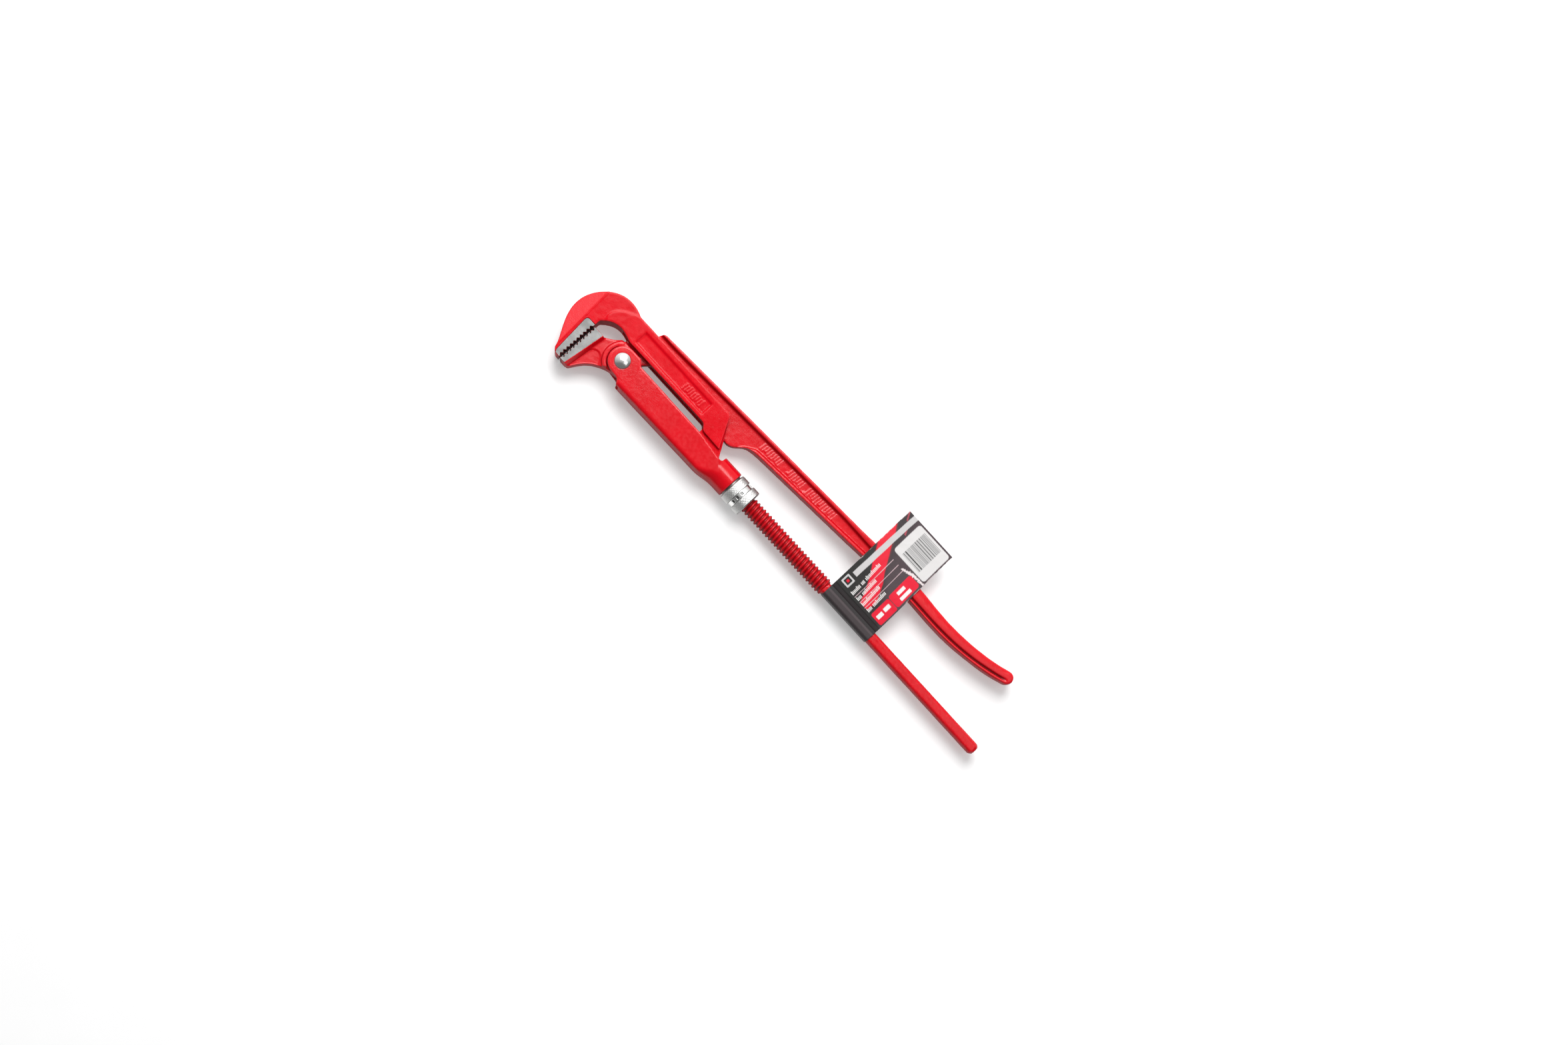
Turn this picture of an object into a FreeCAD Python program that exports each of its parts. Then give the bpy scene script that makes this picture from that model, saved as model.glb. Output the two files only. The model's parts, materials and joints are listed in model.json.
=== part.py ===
import FreeCAD, Part
import math
import os

# Swedish-pattern (right-angle) pipe wrench. Every size is in millimetres.
# The parts are drawn with X along the spindle towards the jaws, Y towards the open side of the mouth and
# Z up, with the pivot at X = 0 and the spindle's axis at Y = Z = 0. The last step moves them all together
# so that the origin is at the middle of the underside of the whole wrench.

V = FreeCAD.Vector

# Pivot and rivet
pivot_y = -1.7
rivet_radius = 5.0
rivet_head_radius = 5.85
rivet_head_height = 2.5
rivet_head_lip = 0.5
rivet_tail_radius = 5.6
rivet_tail_height = 0.4
pivot_clearance = 0.05

# Jaw teeth: both rows face each other across the jaw line
jaw_line_x = 31.3
tip_offset = 0.3
root_offset = 2.0
tooth_pitch = 3.1
tooth_count = 10
tooth_lean = 0.1
first_root_y = 26.3
nose_y = 29.1

# Hook lever: half thicknesses above and below the middle plane
arm_half = 9.25
head_half = 8.9
flat_half = 8.45
neck_half = 7.2
slot_half = 4.0
slot_end_x = 15.6
slot_top_y = -15.6
arm_low_y = -32.2
arm_high_y = -14.3
panel_depth = 0.7
panel_slope = 0.5
facet_drop = 2.6

# Threaded spindle and straight handle
thread_pitch = 3.0
crest_radius = 6.65
root_radius = 5.1
crest_width = 0.9
root_width = 0.6
thread_start_x = -99.5
thread_end_x = -211.9
handle_end_x = -366.4
handle_half_y = 4.4
handle_half_z = 5.5
handle_chamfer_y = 1.65
handle_chamfer_z = 2.0
handle_end_chamfer = 2.0

# Jaw lever
block_half = 8.0
side_half = 5.0
rib_half = 6.9
boss_half = 7.2
web_half = 3.5
rim_half = 6.5
boss_radius = 9.9
seat_radius = 11.2
rib_radius = 14.4
groove_depth = 2.2

# Sleeve, pressed from sheet
sheet = 3.0
sleeve_half = 10.5
ear_radius = 10.45
tube_radius = 10.6
tube_end_x = -114.3
tube_start_x = -98.1
box_end_x = -88.5
spine_front_y = 13.5
spine_back_y = 12.1
spine_corner = 3.2
least_corner = 0.6
open_y = -18.0
tube_flat = 0.05
taper_length = 16.5
taper_steps = 5
round_below_share = 0.6

# Nut, its collar and its retaining ring
nut_radius = 10.95
nut_chamfer = 0.8
nut_front_x = -115.3
nut_back_x = -132.6
groove_front_x = -122.1
groove_back_x = -126.3
groove_radius = 9.4
ring_radius = 10.2
ring_play = 0.15
ring_split = 1.6
ring_split_angle = -57.0
window_length = 2.3
window_width = 1.8
window_angles = (45.5, 20.5, -3.5)
tab_angles = (90.0, 210.0, 330.0)
tab_width = 2.4
neck_radius = 8.6
neck_end_x = -125.9
neck_bore_radius = 6.95
neck_groove_radius = 8.0
neck_groove_margin = 1.0
collar_press_length = 8.8
bore_step_gap = 0.4
slot_margin = 0.9
slot_play = 0.3
tab_margin = 1.2
tab_foot_gap = 0.15
tab_overlap = 0.3
running_clearance = 0.08
thread_clearance = 0.18

# Hang tag: a printed card folded round the straight handle
tag_left_x = -258.4
tag_right_x = -213.4
tag_thickness = 0.5
tag_bottom_y = -80.5
tag_gap = 0.1
tag_to_handle = 0.45
tag_bend = 2.0
tag_corner = 1.6
tag_panel_start_y = -9.0
tag_panel_flat_y = -30.0


def outline(start, *steps):
    """Flat face in the XY plane. A step is one point for a line, two points for an arc, more for a curve."""
    edges = []
    here = V(start[0], start[1], 0)
    for step in steps:
        points = [V(x, y, 0) for x, y in (step if isinstance(step, list) else [step])]
        if len(points) == 1:
            edges.append(Part.makeLine(here, points[0]))
        elif len(points) == 2:
            edges.append(Part.Arc(here, points[0], points[1]).toShape())
        else:
            curve = Part.BSplineCurve()
            curve.interpolate([here] + points)
            edges.append(curve.toShape())
        here = points[-1]
    edges.append(Part.makeLine(here, V(start[0], start[1], 0)))
    return Part.Face(Part.Wire(edges))


def plate(face, low, high):
    """Solid between two levels with the face's outline."""
    lifted = face.copy()
    lifted.translate(V(0, 0, low))
    return lifted.extrude(V(0, 0, high - low))


def slab(face, half):
    """Plate lying evenly about the middle plane."""
    return plate(face, -half, half)


def box(x0, x1, y0, y1, z0, z1):
    return Part.makeBox(x1 - x0, y1 - y0, z1 - z0, V(x0, y0, z0))


def disc(x, y, radius, low, high):
    """Upright cylinder."""
    return Part.makeCylinder(radius, high - low, V(x, y, low), V(0, 0, 1))


def bar(radius, x0, x1):
    """Cylinder on the spindle's axis."""
    return Part.makeCylinder(radius, x1 - x0, V(x0, 0, 0), V(1, 0, 0))


def polygon(points, z):
    corners = [V(x, y, z) for x, y in points]
    return Part.makePolygon(corners + corners[:1])


def grown(points, distance):
    """Corner points of a polygon (listed anticlockwise) with every side moved out by a distance."""
    moved = []
    for before, corner, after in zip(points[-1:] + points[:-1], points, points[1:] + points[:1]):
        a = V(corner[0] - before[0], corner[1] - before[1], 0).normalize()
        b = V(after[0] - corner[0], after[1] - corner[1], 0).normalize()
        out_a = V(a.y, -a.x, 0)
        out_b = V(b.y, -b.x, 0)
        shift = (out_a + out_b) * (distance / (1 + out_a.dot(out_b)))
        moved.append((corner[0] + shift.x, corner[1] + shift.y))
    return moved


def recess(points, floor, top, slope):
    """Cutter for a shallow pocket with sloping walls, in the front face and mirrored in the back face."""
    low = polygon(points, floor)
    high = polygon(grown(points, slope), top)
    front = Part.makeLoft([low, high], True, True)
    back = front.mirror(V(0, 0, 0), V(0, 0, 1))
    return [front, back]


def tooth_grooves(side, half):
    """Cutters between the teeth of one jaw; side is -1 for the lower jaw, +1 for the hook.

    Each groove leans along the jaw, so that it crosses more than one pitch from face to face.
    """
    tip_x = jaw_line_x + side * tip_offset
    root_x = jaw_line_x + side * root_offset
    slope = (tooth_pitch / 2) / (root_offset - tip_offset)
    mouth_x = tip_x - side * 0.5
    reach = tooth_pitch / 2 + 0.5 * slope
    lean = V(0, -tooth_lean * 2 * half, 2 * half)
    cutters = []
    for i in range(tooth_count):
        y = first_root_y - i * tooth_pitch + tooth_lean * 2 * half
        face = Part.Face(polygon([(mouth_x, y + reach), (root_x, y), (mouth_x, y - reach)], -half))
        cutters.append(face.extrude(lean))
    return cutters


def thread_ridge(inner, outer, x_start, x_end, widening=0.0):
    """Right-hand helical ridge on the spindle's axis, from x_end (low X) to x_start."""
    half_crest = crest_width / 2 + widening
    half_root = (thread_pitch - root_width) / 2 + widening
    slope = (half_root - half_crest) / (crest_radius - root_radius)
    foot = half_crest + slope * (outer - inner)
    profile = Part.makePolygon([
        V(inner, 0, -foot),
        V(outer, 0, -half_crest),
        V(outer, 0, half_crest),
        V(inner, 0, foot),
        V(inner, 0, -foot),
    ])
    path = Part.makeHelix(thread_pitch, x_start - x_end, outer)
    ridge = Part.Wire(path).makePipeShell([profile], True, True)
    ridge.rotate(V(0, 0, 0), V(0, 1, 0), 90)
    ridge.translate(V(x_end, 0, 0))
    return ridge


def straight_handle():
    """Eight-sided bar that carries on from the thread, with its far end chamfered."""
    def section(shrink):
        y1 = handle_half_y - shrink
        z1 = handle_half_z - shrink
        y0 = y1 - handle_chamfer_y
        z0 = z1 - handle_chamfer_z
        return [(y1, -z0), (y1, z0), (y0, z1), (-y0, z1), (-y1, z0), (-y1, -z0), (-y0, -z1), (y0, -z1)]

    def loop(x, shrink):
        corners = [V(x, y, z) for y, z in section(shrink)]
        return Part.makePolygon(corners + corners[:1])

    body = Part.makeLoft([loop(handle_end_x + handle_end_chamfer, 0), loop(thread_end_x, 0)], True, True)
    end = Part.makeLoft([loop(handle_end_x, 0.6 * handle_end_chamfer), loop(handle_end_x + handle_end_chamfer, 0)],
                        True, True)
    return body.fuse(end)


def hook_outline():
    """Head and arm of the hook lever, seen from the front."""
    tip_x = jaw_line_x + tip_offset
    return outline(
        (tip_x, nose_y - 0.2),
        (tip_x, -9.2),
        (29.9, -10.9),
        [(26.6, -13.8), (22.4, -15.9), (17.0, -16.7), (11.5, -15.8), (6.0, arm_high_y)],
        (-68.0, arm_high_y),
        [(-70.3, -13.5), (-72.3, -11.4), (-75.2, -10.2)],
        (-90.8, -9.7),
        (-80.0, -28.9),
        [(-77.9, -31.4), (-74.4, arm_low_y)],
        (14.3, arm_low_y),
        [(19.2, -34.0), (26.2, -34.8), (33.4, -33.6), (42.9, -27.6), (50.4, -17.2),
         (52.6, -7.0), (50.9, 2.6), (45.8, 13.0), (39.2, 24.6)],
        [(37.6, 27.6), (35.2, 28.9)],
    )


def neck_outline():
    """Thinner neck that rises from the arm's end into the sleeve and meets the spindle."""
    return outline(
        (-98.8, 4.0),
        (-98.8, -0.6),
        (-96.4, -4.0),
        (-95.0, -6.0),
        (-88.4, -16.6),
        (-82.6, -25.2),
        (-78.0, -25.2),
        (-71.6, -16.0),
        (-72.4, -6.5),
        [(-73.6, 3.4), (-80.0, 6.2)],
        (-95.0, 6.0),
    )


def head_facet():
    """Cutters that slope the head's outer part away from the front and back faces."""
    crease = [(39.0, 34.0), (39.0, 24.0), (42.4, -26.0), (43.4, -40.0)]
    reach = 16.0
    sections = []
    for x, y in crease:
        sections.append(Part.makePolygon([
            V(x, y, head_half),
            V(x + reach, y, head_half - facet_drop),
            V(x + reach, y, head_half + 4),
            V(x, y, head_half + 4),
            V(x, y, head_half),
        ]))
    front = Part.makeLoft(sections, True, True)
    return [front, front.mirror(V(0, 0, 0), V(0, 0, 1))]


def hook_lever():
    """Hook jaw, slotted arm, neck, threaded spindle and straight handle, all one forging."""
    forging = slab(hook_outline(), arm_half)
    head_side = outline(
        (60.0, -40.0),
        (60.0, 40.0),
        (28.0, 40.0),
        (28.0, -12.6),
        [(30.4, -16.0), (29.4, -21.0), (25.0, -26.0), (16.0, -31.2), (12.0, -33.5)],
        (12.0, -40.0),
    )
    lowering = plate(head_side, head_half, arm_half + 1)
    ground = [(30.0, -5.0), (37.6, -5.0), (39.0, -4.2), (39.5, -2.6), (37.0, 26.6), (36.0, 28.4), (35.0, 40.0),
              (30.0, 40.0)]
    panel = [(-64.0, -27.4), (3.7, -27.4), (3.7, -17.9), (-64.0, -17.9)]
    cutters = [lowering, lowering.mirror(V(0, 0, 0), V(0, 0, 1))]
    cutters += recess(ground, flat_half, arm_half + 1, 0.0)
    cutters += recess(panel, arm_half - panel_depth, arm_half + 0.1, panel_slope)
    cutters += head_facet()
    forging = forging.cut(cutters + tooth_grooves(1, arm_half))
    forging = forging.fuse(slab(neck_outline(), neck_half))
    slot = box(-100, slot_end_x, -40, slot_top_y, -slot_half, slot_half)
    slot_over_web = box(-70.0, slot_end_x, -20, -8, -slot_half, slot_half)
    forging = forging.cut([slot, slot_over_web])
    core = bar(root_radius, thread_end_x - 0.5, thread_start_x + 2)
    ridge = thread_ridge(root_radius - 0.3, crest_radius, thread_start_x, thread_end_x)
    spindle = core.fuse(ridge)
    return spindle.fuse([forging, straight_handle()]).removeSplitter()


def handle_outline():
    """Web and curved handle of the jaw lever, from the heel to the rounded end of the grip."""
    return outline(
        (9.0, -6.0),
        [(9.3, -14.0), (5.0, -24.0), (-3.4, -33.0)],
        [(-4.8, -36.0), (-8.8, -37.5)],
        (-28.0, -38.4),
        (-186.0, -45.6),
        [(-225.0, -47.8), (-260.5, -48.9), (-279.0, -47.8), (-298.0, -47.9), (-316.5, -49.8), (-335.0, -53.6),
         (-343.0, -56.1)],
        [(-349.4, -52.0), (-344.6, -46.3)],
        [(-335.0, -43.1), (-316.5, -39.4), (-298.0, -37.0), (-279.0, -36.5), (-260.5, -37.0), (-225.0, -35.2),
         (-186.0, -32.2)],
        (-113.0, -27.4),
        [(-106.4, -26.5), (-102.7, -25.2), (-99.5, -22.6), (-97.2, -20.2), (-94.0, -17.9), (-89.0, -17.2)],
        (-80.0, -16.4),
        (-17.4, -16.4),
        [(-13.3, -13.3), (-10.8, -10.3), (-9.0, -6.0)],
    )


def rail(offset, points):
    """Points moved straight down by an offset."""
    return [(x, y - offset) for x, y in points]


def handle_pockets():
    """Cutters for the long hollows in the handle's two faces, between its upper and lower rims."""
    shank = [(-262.0, -41.6), (-262.0, -40.6), (-186.0, -35.4), (-112.0, -30.3), (-108.0, -29.8),
             (-101.0, -25.0), (-97.0, -20.0), (-93.0, -12.0), (-5.0, -12.0), (0.0, -20.0), (-3.0, -34.9),
             (-16.0, -34.8), (-28.0, -35.2), (-186.0, -42.2)]
    shank.reverse()
    return recess(shank, web_half, rim_half + 1, 1.2)


def grip_groove():
    """Cutter for the groove that runs on along the curved grip, a little under its upper edge."""
    upper = [(-250.0, -38.8), (-261.5, -39.0), (-279.0, -38.6), (-298.0, -39.2), (-316.5, -41.6),
             (-335.0, -45.6), (-345.0, -48.8)]
    face = outline(upper[0], upper[1:], rail(1.0, upper)[-1], rail(1.3, upper)[-2::-1])
    front = plate(face, rim_half - groove_depth, rim_half + 1)
    return [front, front.mirror(V(0, 0, 0), V(0, 0, 1))]


def jaw_side_outline():
    """Lower jaw from its back edge to the mouth, at the level of its flank."""
    tip_x = jaw_line_x - tip_offset
    return outline(
        (-6.0, 6.0),
        (-5.0, 8.1),
        [(-0.3, 8.9), (4.6, 10.3), (9.6, 12.8), (14.6, 16.4), (19.0, 21.8), (22.3, 27.4)],
        [(23.2, 28.7), (25.0, nose_y)],
        (tip_x, nose_y),
        (tip_x, -3.0),
        (tip_x - 0.8, -3.8),
        (22.0, -3.8),
        [(19.6, -5.2), (14.4, -9.2), (12.3, -11.4)],
        [(10.4, -12.6), (8.4, -11.6)],
        (0.0, -6.0),
    )


def jaw_block():
    """Toothed block of the lower jaw, standing proud of the flank with a sloping back wall."""
    tip_x = jaw_line_x - tip_offset
    face = outline((tip_x, nose_y), (tip_x, -3.0), (tip_x - 0.8, -3.8), (20.0, -3.8), (20.0, nose_y))
    block = slab(face, block_half)
    base = [(19.8, -6.0), (24.0, 32.0), (10.0, 32.0), (10.0, -6.0)]
    top = [(22.0, -6.0), (26.5, 32.0), (10.0, 32.0), (10.0, -6.0)]
    slope = Part.makeLoft([polygon(base, side_half), polygon(top, block_half + 0.5)], True, True)
    waste = plate(outline(*base), -side_half, side_half)
    return block.cut([slope, slope.mirror(V(0, 0, 0), V(0, 0, 1)), waste])


def pivot_rib():
    """Curved rib that runs round the ear seat, from the jaw's back edge to a nub above the arm."""
    def on_ring(radius, angle):
        turn = math.radians(angle)
        return (radius * math.cos(turn), pivot_y + radius * math.sin(turn))

    middle = (seat_radius + rib_radius) / 2
    face = outline(
        on_ring(seat_radius, 68),
        [on_ring(seat_radius, 15), on_ring(seat_radius, -36)],
        [on_ring(middle, -47), on_ring(rib_radius, -37)],
        [on_ring(rib_radius, 10), on_ring(rib_radius, 61)],
    )
    return slab(face, rib_half)


def jaw_lever():
    """Lower jaw, pivot boss, web and curved handle, all one forging."""
    boss = disc(0, pivot_y, boss_radius, -boss_half, boss_half)
    jaw = slab(jaw_side_outline(), side_half).fuse([jaw_block(), pivot_rib(), boss])
    seat = disc(0, pivot_y, seat_radius, boss_half, block_half + 1)
    jaw = jaw.cut([seat, seat.mirror(V(0, 0, 0), V(0, 0, 1))] + tooth_grooves(-1, block_half))
    handle = slab(handle_outline(), rim_half)
    handle = handle.cut(handle_pockets() + grip_groove())
    lever = handle.fuse(jaw)
    crossing = outline((-98.0, -34.2), (20.0, -34.2), (20.0, -13.2), (6.0, -12.6), (-4.0, -12.6),
                       (-8.0, -10.6), (-11.2, -6.3), (-98.0, -6.3))
    thinning = plate(crossing, web_half, rim_half + 2)
    lever = lever.cut([thinning, thinning.mirror(V(0, 0, 0), V(0, 0, 1))])
    bore = disc(0, pivot_y, rivet_radius + pivot_clearance, -boss_half - 1, boss_half + 1)
    return lever.cut(bore).removeSplitter()


def smooth(share):
    """Share from 0 to 1 that starts and ends gently."""
    return share * share * (3 - 2 * share)


def rounded_loop(x, top, bottom, half, top_radius, bottom_radius):
    """Loop round the sleeve at one X: a rectangle whose corners may be round enough to make it a circle."""
    edges = []
    ends = []
    for up, out in ((1, 1), (-1, 1), (-1, -1), (1, -1)):
        radius = top_radius if up > 0 else bottom_radius
        y = top - radius if up > 0 else bottom + radius
        z = out * (half - radius)
        middle = radius * math.sqrt(0.5)
        tall = V(x, y + up * radius, z)
        wide = V(x, y, z + out * radius)
        bend = V(x, y + up * middle, z + out * middle)
        first, last = (tall, wide) if up == out else (wide, tall)
        ends.append((first, bend, last))
    for i, (first, bend, last) in enumerate(ends):
        edges.append(Part.Arc(first, bend, last).toShape())
        edges.append(Part.makeLine(last, ends[(i + 1) % 4][0]))
    return Part.Wire(edges)


def sleeve_skin(inset, overrun):
    """Solid bounded by the sleeve's outer face, or by its inner face when inset by the sheet's thickness."""
    def corner(ease):
        radius = spine_corner + (tube_radius - tube_flat - spine_corner) * ease
        return max(radius - inset, least_corner)

    def loop(x, spine_y, roundness):
        """Box section at roundness 0 and almost a circle at 1; the underside is round before the top."""
        ease = smooth(roundness)
        low_ease = smooth(min(1, roundness / round_below_share))
        top = spine_y + (tube_radius - spine_y) * ease
        bottom = open_y + (-tube_radius - open_y) * low_ease
        half = sleeve_half + (tube_radius - sleeve_half) * ease
        return rounded_loop(x, top - inset, bottom + inset, half - inset, corner(ease), corner(low_ease))

    loops = [loop(ear_radius + 2, spine_front_y, 0), loop(box_end_x, spine_back_y, 0)]
    for i in range(1, taper_steps + 1):
        loops.append(loop(box_end_x - taper_length * i / taper_steps, spine_back_y, i / taper_steps))
    loops.append(loop(tube_end_x - overrun, spine_back_y, 1))
    return Part.makeLoft(loops, True, True)


def sleeve():
    """Pressed sheet housing: open underneath, two ears at the pivot and a round tube behind."""
    side = outline(
        (0.0, pivot_y - ear_radius),
        [(ear_radius, pivot_y), (0.0, pivot_y + ear_radius)],
        (-5.0, 9.2),
        [(-7.0, 10.2), (-8.2, 12.0)],
        (-9.8, spine_front_y + 1),
        (tube_end_x, spine_front_y + 1),
        (tube_end_x, -tube_radius - 0.1),
        (tube_start_x, -tube_radius - 0.1),
        (tube_start_x, -6.8),
        [(-97.4, -5.7), (-96.0, -5.3)],
        (-74.0, -7.9),
        (-12.0, -8.4),
        (-7.9, pivot_y - ear_radius),
    )
    skin = sleeve_skin(0.0, 0.0).common(slab(side, sleeve_half + 1))
    mouth = box(tube_start_x, ear_radius + 3, -20, 0, -sleeve_half + sheet, sleeve_half - sheet)
    ear_gap = box(-11.0, ear_radius + 3, -20, 20, -sleeve_half + sheet, sleeve_half - sheet)
    hole = disc(0, pivot_y, rivet_radius, -sleeve_half - 1, sleeve_half + 1)
    return skin.cut([sleeve_skin(sheet, 1.0), mouth, ear_gap, hole]).removeSplitter()


def lathe(points):
    """Solid turned about the spindle's axis from (X, radius) corner points."""
    corners = [V(x, radius, 0) for x, radius in points]
    profile = Part.Face(Part.makePolygon(corners + corners[:1]))
    return profile.revolve(V(0, 0, 0), V(1, 0, 0), 360)


def sleeve_collar():
    """Bush pressed into the sleeve's tube; the nut turns on its neck, held by the ring in its groove."""
    inner_end_x = tube_end_x + collar_press_length
    bore = neck_bore_radius
    press = tube_radius - sheet
    return lathe([
        (inner_end_x, bore),
        (inner_end_x, press),
        (tube_end_x, press),
        (tube_end_x, neck_radius),
        (groove_front_x - neck_groove_margin, neck_radius),
        (groove_front_x - neck_groove_margin, neck_groove_radius),
        (groove_back_x + neck_groove_margin, neck_groove_radius),
        (groove_back_x + neck_groove_margin, neck_radius),
        (neck_end_x, neck_radius),
        (neck_end_x, bore),
    ])


def radial_block(angle, inner, outer, width, x0, x1):
    """Block across a ring at an angle from the front, measured towards the mouth side."""
    block = box(x0, x1, -width / 2, width / 2, inner, outer)
    block.rotate(V(0, 0, 0), V(1, 0, 0), -angle)
    return block


def adjusting_nut():
    """Knurled nut: threaded behind, counterbored in front to run on the collar's neck."""
    blank = lathe([
        (nut_front_x, neck_radius + running_clearance),
        (nut_front_x, nut_radius - nut_chamfer),
        (nut_front_x - nut_chamfer, nut_radius),
        (groove_front_x, nut_radius),
        (groove_front_x, groove_radius),
        (groove_back_x, groove_radius),
        (groove_back_x, nut_radius),
        (nut_back_x + nut_chamfer, nut_radius),
        (nut_back_x, nut_radius - nut_chamfer),
        (nut_back_x, root_radius + thread_clearance),
        (neck_end_x - bore_step_gap, root_radius + thread_clearance),
        (neck_end_x - bore_step_gap, neck_radius + running_clearance),
    ])
    turns = math.ceil((nut_front_x - nut_back_x) / thread_pitch) + 2
    first_turn = math.floor((nut_back_x - thread_end_x) / thread_pitch) - 1
    cut_low_x = thread_end_x + first_turn * thread_pitch
    cut_high_x = cut_low_x + turns * thread_pitch
    groove = thread_ridge(root_radius, crest_radius + thread_clearance, cut_high_x, cut_low_x, thread_clearance)
    slots = []
    for angle in tab_angles:
        slots.append(radial_block(angle, neck_radius - 1, groove_radius + 1, tab_width + slot_play,
                                  groove_back_x + slot_margin, groove_front_x - slot_margin))
    return blank.cut([groove] + slots)


def nut_ring():
    """Split spring band in the nut's groove, pierced by windows; its tabs hold the nut on the collar."""
    x0 = groove_back_x + ring_play
    x1 = groove_front_x - ring_play
    band = bar(ring_radius, x0, x1).cut(bar(groove_radius, x0 - 1, x1 + 1))
    tab_inner = neck_groove_radius + tab_foot_gap
    tab_outer = ring_radius - tab_overlap
    for angle in tab_angles:
        band = band.fuse(radial_block(angle, tab_inner, tab_outer, tab_width, x0 + tab_margin, x1 - tab_margin))
    inner, outer = ring_radius / 2, ring_radius * 2
    cutters = [radial_block(ring_split_angle, inner, outer, ring_split, x0 - 1, x1 + 1)]
    middle = (x0 + x1) / 2
    low_x = middle - window_length / 2
    for angle in window_angles:
        cutters.append(radial_block(angle, inner, outer, window_width, low_x, low_x + window_length))
    return band.cut(cutters)


def cap(base_radius, height, level):
    """Solid slice off a ball, with its flat face on the given level and its dome above it."""
    ball_radius = (base_radius ** 2 + height ** 2) / (2 * height)
    ball = Part.makeSphere(ball_radius, V(0, pivot_y, level + height - ball_radius))
    return ball.common(disc(0, pivot_y, base_radius + 1, level, level + height + 1))


def pivot_rivet():
    """Domed rivet through both ears and the jaw lever's boss, closed behind with a low head."""
    shank = disc(0, pivot_y, rivet_radius, -sleeve_half, sleeve_half)
    lip = disc(0, pivot_y, rivet_head_radius, sleeve_half, sleeve_half + rivet_head_lip)
    dome = cap(rivet_head_radius, rivet_head_height - rivet_head_lip, sleeve_half + rivet_head_lip)
    tail = cap(rivet_tail_radius, rivet_tail_height, sleeve_half).mirror(V(0, 0, 0), V(0, 0, 1))
    return shank.fuse([lip, dome, tail]).removeSplitter()


def sales_tag():
    """Printed card: a closed fold round the straight handle and a flat panel in front of the curved one."""
    y_in = handle_half_y + tag_gap
    z_in = handle_half_z + tag_gap
    y_out = y_in + tag_thickness
    z_out = z_in + tag_thickness
    panel_z = rim_half + tag_to_handle
    inside = [(y_in, -z_in + tag_bend), (y_in, z_in - tag_bend), (y_in - tag_corner, z_in),
              (-y_in + tag_corner, z_in), (-y_in, z_in - tag_bend), (-y_in, -z_in + tag_bend),
              (-y_in + tag_corner, -z_in), (y_in - tag_corner, -z_in)]
    outer_corner = tag_corner + 0.1
    loop_outside = [(-y_out, z_out - tag_bend), (-y_out, -z_out + tag_bend), (-y_out + outer_corner, -z_out),
                    (y_out - outer_corner, -z_out), (y_out, -z_out + tag_bend), (y_out, z_out - tag_bend),
                    (y_out - outer_corner, z_out), (-y_out + 1.0, z_out)]
    panel = [(tag_panel_start_y, z_out + 0.1), (tag_panel_flat_y, panel_z + tag_thickness),
             (tag_bottom_y, panel_z + tag_thickness), (tag_bottom_y, panel_z), (tag_panel_flat_y, panel_z),
             (tag_panel_start_y, z_out - tag_thickness)]

    def extruded(points):
        corners = [V(tag_left_x, y, z) for y, z in points]
        return Part.Face(Part.makePolygon(corners + corners[:1])).extrude(V(tag_right_x - tag_left_x, 0, 0))

    return extruded(loop_outside + panel).cut(extruded(inside))


def build():
    """All the pieces, each under its own name."""
    return {
        "hook_lever": hook_lever(),
        "jaw_lever": jaw_lever(),
        "sleeve": sleeve(),
        "sleeve_collar": sleeve_collar(),
        "adjusting_nut": adjusting_nut(),
        "nut_ring": nut_ring(),
        "pivot_rivet": pivot_rivet(),
        "sales_tag": sales_tag(),
    }


def place_origin(shapes):
    """Move every piece so that the origin is under the middle of the wrench; returns the move."""
    whole = Part.makeCompound(list(shapes.values())).optimalBoundingBox(False, False)
    move = V(-(whole.XMin + whole.XMax) / 2, -(whole.YMin + whole.YMax) / 2, -whole.ZMin)
    for shape in shapes.values():
        shape.translate(move)
    return move


def main():
    os.makedirs("parts", exist_ok=True)
    shapes = build()
    move = place_origin(shapes)
    print("pivot axis at X %.3f, Y %.3f" % (move.x, move.y + pivot_y))
    print("spindle axis at Y %.3f, Z %.3f" % (move.y, move.z))
    for name, shape in shapes.items():
        shape.exportStep("parts/" + name + ".step")
        print(name, "solids", len(shape.Solids), "valid", shape.isValid(), "volume %.0f" % shape.Volume)


main()
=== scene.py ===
import json
import math

import bmesh
import bpy
import numpy as np
from mathutils import Matrix, Vector, noise
from mathutils.bvhtree import BVHTree


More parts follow.
